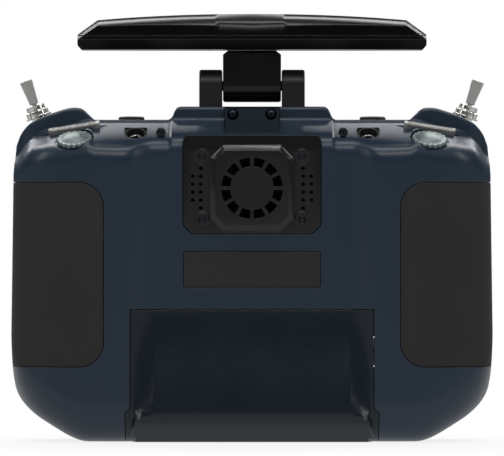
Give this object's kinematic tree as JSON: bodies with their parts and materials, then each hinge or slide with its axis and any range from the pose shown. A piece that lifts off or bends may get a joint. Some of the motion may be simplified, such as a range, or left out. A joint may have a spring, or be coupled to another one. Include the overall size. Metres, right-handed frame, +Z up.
{
  "type": "radio transmitter controller",
  "caption": "Handheld radio transmitter with sprung stick gimbals, display, toggle switches, dials, rubber grips, rear fan and battery door, and a folding T-shaped antenna.",
  "frame": {"origin": "centre of the flat lower edge that the transmitter stands on", "axes": "+Z up, +X to the right as seen from behind, the rear face with the battery door looks towards -Y and the face with the sticks towards +Y"},
  "size_m": [0.1928, 0.076, 0.1703],
  "materials": {
    "navy_shell": "satin",
    "black_plastic": "satin",
    "grip_rubber": "matt",
    "bright_metal": "polished",
    "satin_metal": "satin",
    "dark_metal": "satin",
    "circuit_board": "satin",
    "screen_glass": "polished",
    "cell_wrap": "gloss"
  },
  "bodies": {
    "case": {"rear_housing": "navy_shell", "grip_left": "grip_rubber", "grip_right": "grip_rubber", "front_housing": "navy_shell", "fan_cover": "black_plastic", "cover_screw_1": "dark_metal", "cover_screw_2": "dark_metal", "cover_screw_3": "dark_metal", "cover_screw_4": "dark_metal", "fan_frame": "black_plastic", "label_plate": "black_plastic", "battery_tray": "black_plastic", "battery_cell_lower": "cell_wrap", "battery_cell_upper": "cell_wrap", "hinge_bracket": "black_plastic", "hinge_pin": "dark_metal", "bracket_screw_left": "dark_metal", "bracket_screw_right": "dark_metal", "shoulder_toggle_left_switch": "bright_metal", "front_toggle_left_switch": "bright_metal", "gimbal_frame_left": "dark_metal", "shoulder_toggle_right_switch": "bright_metal", "front_toggle_right_switch": "bright_metal", "gimbal_frame_right": "dark_metal", "trainer_jack": "bright_metal", "audio_jack": "bright_metal", "speaker": "black_plastic", "strap_eye": "bright_metal", "display_lens": "screen_glass", "display_module": "dark_metal", "main_board": "circuit_board"},
    "antenna": {"antenna_arm": "black_plastic", "antenna_blade": "black_plastic", "antenna_lid": "black_plastic"},
    "fan_rotor": {"fan_rotor": "black_plastic"},
    "battery_door": {"battery_door": "navy_shell"},
    "roller": {"roller": "satin_metal"},
    "power_button": {"power_button": "satin_metal"},
    "push_button_left": {"push_button_left": "black_plastic"},
    "dial_left": {"dial_left": "bright_metal"},
    "slider_left": {"slider_left": "satin_metal"},
    "shoulder_lever_left": {"shoulder_toggle_left_lever": "satin_metal"},
    "front_lever_left": {"front_toggle_left_lever": "satin_metal"},
    "gimbal_ring_left": {"gimbal_ring_left": "dark_metal"},
    "gimbal_stick_left": {"gimbal_stick_left": "satin_metal"},
    "trim_left_upright": {"trim_left_upright": "satin_metal"},
    "trim_left_level": {"trim_left_level": "satin_metal"},
    "key_left_upper": {"key_left_upper": "black_plastic"},
    "key_left_lower": {"key_left_lower": "black_plastic"},
    "push_button_right": {"push_button_right": "black_plastic"},
    "dial_right": {"dial_right": "bright_metal"},
    "slider_right": {"slider_right": "satin_metal"},
    "shoulder_lever_right": {"shoulder_toggle_right_lever": "satin_metal"},
    "front_lever_right": {"front_toggle_right_lever": "satin_metal"},
    "gimbal_ring_right": {"gimbal_ring_right": "dark_metal"},
    "gimbal_stick_right": {"gimbal_stick_right": "satin_metal"},
    "trim_right_upright": {"trim_right_upright": "satin_metal"},
    "trim_right_level": {"trim_right_level": "satin_metal"},
    "key_right_upper": {"key_right_upper": "black_plastic"},
    "key_right_lower": {"key_right_lower": "black_plastic"}
  },
  "joints": [
    {"name": "antenna_fold", "type": "hinge", "parent": "case", "child": "antenna", "pos_m": [0, 0.003, 0.1417], "axis": [1, 0, 0], "range_deg": [-30, 90]},
    {"name": "battery_door_slide", "type": "slide", "parent": "case", "child": "battery_door", "axis": [0, 0, -1], "range_m": [0, 0.055]},
    {"name": "fan_spin", "type": "hinge", "parent": "case", "child": "fan_rotor", "pos_m": [0, -0.0222, 0.10056], "axis": [0, 1, 0], "continuous": true},
    {"name": "roller_spin", "type": "hinge", "parent": "case", "child": "roller", "pos_m": [0.052, 0.0156, 0.035], "axis": [1, 0, 0], "continuous": true},
    {"name": "power_press", "type": "slide", "parent": "case", "child": "power_button", "axis": [0, -1, 0], "range_m": [0, 0.0008], "stiffness_N_per_m": 300, "springref_m": -0.0006},
    {"name": "push_button_left_press", "type": "slide", "parent": "case", "child": "push_button_left", "axis": [0, 0, -1], "range_m": [0, 0.0012], "stiffness_N_per_m": 300, "springref_m": -0.0006},
    {"name": "dial_left_turn", "type": "hinge", "parent": "case", "child": "dial_left", "pos_m": [-0.0704, -0.0189, 0.11998], "axis": [-0.0787, -0.4307, 0.899], "range_deg": [-150, 150]},
    {"name": "slider_left_move", "type": "slide", "parent": "case", "child": "slider_left", "axis": [0.9877, 0, 0.1564], "range_m": [-0.004, 0.004]},
    {"name": "shoulder_toggle_left", "type": "hinge", "parent": "case", "child": "shoulder_lever_left", "pos_m": [-0.08554, 0.003, 0.12973], "axis": [0.9397, 0, 0.342], "range_deg": [-14, 14]},
    {"name": "front_toggle_left", "type": "hinge", "parent": "case", "child": "front_lever_left", "pos_m": [-0.033, 0.021, 0.1183], "axis": [1, 0, 0], "range_deg": [-14, 14]},
    {"name": "gimbal_left_tilt", "type": "hinge", "parent": "case", "child": "gimbal_ring_left", "pos_m": [-0.061, 0.001, 0.088], "axis": [1, 0, 0], "range_deg": [-24, 24], "stiffness_Nm_per_rad": 0.12},
    {"name": "gimbal_left_swing", "type": "hinge", "parent": "gimbal_ring_left", "child": "gimbal_stick_left", "pos_m": [-0.061, 0.001, 0.088], "axis": [0, 0, 1], "range_deg": [-24, 24], "stiffness_Nm_per_rad": 0.12},
    {"name": "trim_left_upright_move", "type": "slide", "parent": "case", "child": "trim_left_upright", "axis": [0, 0, 1], "range_m": [-0.0015, 0.0015], "stiffness_N_per_m": 200},
    {"name": "trim_left_level_move", "type": "slide", "parent": "case", "child": "trim_left_level", "axis": [1, 0, 0], "range_m": [-0.0015, 0.0015], "stiffness_N_per_m": 200},
    {"name": "key_left_upper_press", "type": "slide", "parent": "case", "child": "key_left_upper", "axis": [0, -1, 0], "range_m": [0, 0.0008], "stiffness_N_per_m": 300, "springref_m": -0.0006},
    {"name": "key_left_lower_press", "type": "slide", "parent": "case", "child": "key_left_lower", "axis": [0, -1, 0], "range_m": [0, 0.0008], "stiffness_N_per_m": 300, "springref_m": -0.0006},
    {"name": "push_button_right_press", "type": "slide", "parent": "case", "child": "push_button_right", "axis": [0, 0, -1], "range_m": [0, 0.0012], "stiffness_N_per_m": 300, "springref_m": -0.0006},
    {"name": "dial_right_turn", "type": "hinge", "parent": "case", "child": "dial_right", "pos_m": [0.0704, -0.0189, 0.11998], "axis": [0.0787, -0.4307, 0.899], "range_deg": [-150, 150]},
    {"name": "slider_right_move", "type": "slide", "parent": "case", "child": "slider_right", "axis": [0.9877, 0, -0.1564], "range_m": [-0.004, 0.004]},
    {"name": "shoulder_toggle_right", "type": "hinge", "parent": "case", "child": "shoulder_lever_right", "pos_m": [0.08554, 0.003, 0.12973], "axis": [0.9397, 0, -0.342], "range_deg": [-14, 14]},
    {"name": "front_toggle_right", "type": "hinge", "parent": "case", "child": "front_lever_right", "pos_m": [0.033, 0.021, 0.1183], "axis": [1, 0, 0], "range_deg": [-14, 14]},
    {"name": "gimbal_right_tilt", "type": "hinge", "parent": "case", "child": "gimbal_ring_right", "pos_m": [0.061, 0.001, 0.088], "axis": [1, 0, 0], "range_deg": [-24, 24]},
    {"name": "gimbal_right_swing", "type": "hinge", "parent": "gimbal_ring_right", "child": "gimbal_stick_right", "pos_m": [0.061, 0.001, 0.088], "axis": [0, 0, 1], "range_deg": [-24, 24], "stiffness_Nm_per_rad": 0.12},
    {"name": "trim_right_upright_move", "type": "slide", "parent": "case", "child": "trim_right_upright", "axis": [0, 0, 1], "range_m": [-0.0015, 0.0015], "stiffness_N_per_m": 200},
    {"name": "trim_right_level_move", "type": "slide", "parent": "case", "child": "trim_right_level", "axis": [1, 0, 0], "range_m": [-0.0015, 0.0015], "stiffness_N_per_m": 200},
    {"name": "key_right_upper_press", "type": "slide", "parent": "case", "child": "key_right_upper", "axis": [0, -1, 0], "range_m": [0, 0.0008], "stiffness_N_per_m": 300, "springref_m": -0.0006},
    {"name": "key_right_lower_press", "type": "slide", "parent": "case", "child": "key_right_lower", "axis": [0, -1, 0], "range_m": [0, 0.0008], "stiffness_N_per_m": 300, "springref_m": -0.0006}
  ]
}
